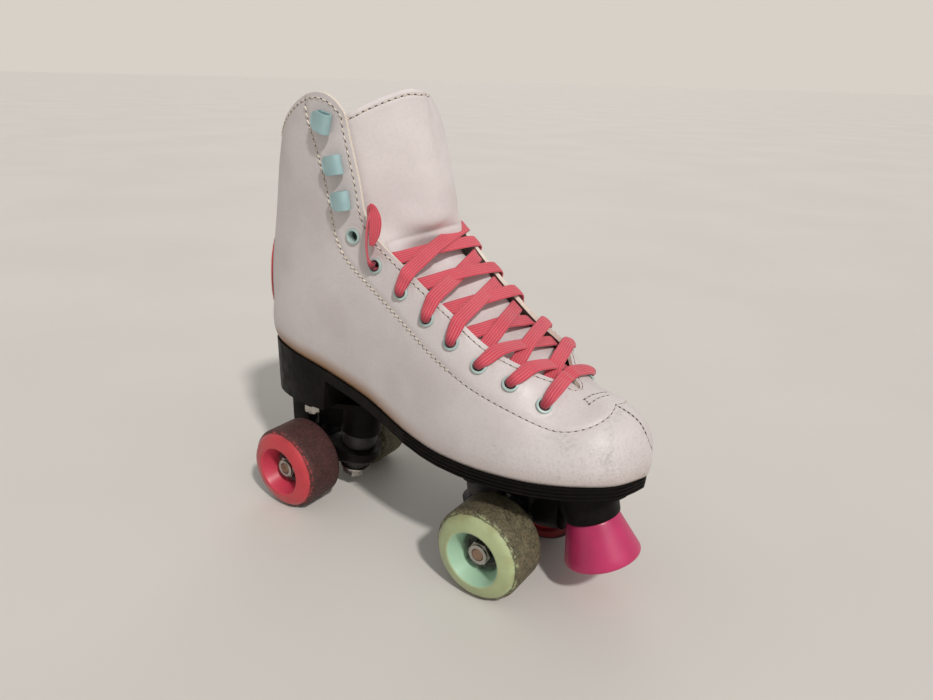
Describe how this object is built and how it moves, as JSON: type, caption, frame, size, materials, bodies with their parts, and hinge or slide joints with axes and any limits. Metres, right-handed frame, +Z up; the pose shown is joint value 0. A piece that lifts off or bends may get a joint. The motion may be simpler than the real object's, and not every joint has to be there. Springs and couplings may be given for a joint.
{
  "type": "quad roller skate",
  "caption": "Laced high boot on a moulded sole with sprung steering trucks, paired wheels on ball bearings and a tapered toe stop; wheels spin and trucks tilt.",
  "frame": {"origin": "middle of the box around the skate, on the floor under its wheels", "axes": "+X towards the toe, +Y towards the inner side of the foot, +Z up; a skate for the right foot"},
  "size_m": [0.285, 0.1106, 0.2833],
  "materials": {
    "white_leather": "smooth synthetic leather, matt",
    "facing_leather": "smooth synthetic leather, matt",
    "tongue_leather": "soft padded synthetic leather",
    "coral_leather": "smooth strip",
    "lining": "brushed cloth",
    "insole": "woven cloth on foam",
    "board": "pressed fibreboard",
    "mint_metal": "mint enamel",
    "lace": "flat woven cotton",
    "sole": "moulded, matt",
    "chassis": "moulded nylon",
    "hanger": "black paint on cast metal",
    "steel": "zinc plated",
    "cushion": "cast urethane",
    "pivot_cup": "moulded",
    "toe_stop": "moulded, satin",
    "mint_wheel": "cast urethane",
    "coral_wheel": "cast urethane",
    "seal": "moulded"
  },
  "bodies": {
    "skate": {"outer_quarter": "white_leather", "inner_quarter": "white_leather", "outer_facing": "facing_leather", "inner_facing": "facing_leather", "outer_lining": "lining", "inner_lining": "lining", "backstay": "coral_leather", "tongue": "tongue_leather", "insole": "insole", "insole_board": "board", "eyelets": "mint_metal", "lace_hooks": "mint_metal", "lace": "lace", "outsole": "sole", "front_base": "chassis", "rear_base": "chassis", "chassis_bolts": "steel", "chassis_nuts": "steel", "front_kingpin": "steel", "rear_kingpin": "steel", "kingpin_nuts": "steel", "cushion_washers": "steel", "front_upper_cushion": "cushion", "front_lower_cushion": "cushion", "rear_upper_cushion": "cushion", "rear_lower_cushion": "cushion", "pivot_cups": "pivot_cup", "toe_stop": "toe_stop", "toe_stop_stud": "steel", "toe_stop_nut": "steel"},
    "front_truck": {"front_hanger": "hanger", "front_axle": "steel", "front_axle_nuts": "steel", "front_axle_washers": "steel", "front_inner_races": "steel", "front_bearing_spacers": "steel"},
    "rear_truck": {"rear_hanger": "hanger", "rear_axle": "steel", "rear_axle_nuts": "steel", "rear_axle_washers": "steel", "rear_inner_races": "steel", "rear_bearing_spacers": "steel"},
    "front_outer": {"front_outer_wheel": "mint_wheel", "front_outer_bearing_rings": "steel", "front_outer_bearing_seals": "seal", "front_outer_bearing_balls": "steel"},
    "front_inner": {"front_inner_wheel": "coral_wheel", "front_inner_bearing_rings": "steel", "front_inner_bearing_seals": "seal", "front_inner_bearing_balls": "steel"},
    "rear_outer": {"rear_outer_wheel": "coral_wheel", "rear_outer_bearing_rings": "steel", "rear_outer_bearing_seals": "seal", "rear_outer_bearing_balls": "steel"},
    "rear_inner": {"rear_inner_wheel": "mint_wheel", "rear_inner_bearing_rings": "steel", "rear_inner_bearing_seals": "seal", "rear_inner_bearing_balls": "steel"}
  },
  "joints": [
    {"name": "front_steer", "type": "hinge", "parent": "skate", "child": "front_truck", "pos_m": [0.03924, 0, 0.034], "axis": [0.9781, 0, 0.2079], "range_deg": [-8, 8], "stiffness_Nm_per_rad": 20, "deforming": ["front_upper_cushion", "front_lower_cushion"]},
    {"name": "rear_steer", "type": "hinge", "parent": "skate", "child": "rear_truck", "pos_m": [-0.07576, 0, 0.034], "axis": [-0.9781, 0, 0.2079], "range_deg": [-8, 8], "stiffness_Nm_per_rad": 20, "deforming": ["rear_upper_cushion", "rear_lower_cushion"]},
    {"name": "front_outer_spin", "type": "hinge", "parent": "front_truck", "child": "front_outer", "pos_m": [0.06324, 0, 0.029], "axis": [0, 1, 0], "continuous": true},
    {"name": "front_inner_spin", "type": "hinge", "parent": "front_truck", "child": "front_inner", "pos_m": [0.06324, 0, 0.029], "axis": [0, 1, 0], "continuous": true},
    {"name": "rear_outer_spin", "type": "hinge", "parent": "rear_truck", "child": "rear_outer", "pos_m": [-0.09976, 0, 0.029], "axis": [0, 1, 0], "continuous": true},
    {"name": "rear_inner_spin", "type": "hinge", "parent": "rear_truck", "child": "rear_inner", "pos_m": [-0.09976, 0, 0.029], "axis": [0, 1, 0], "continuous": true}
  ]
}
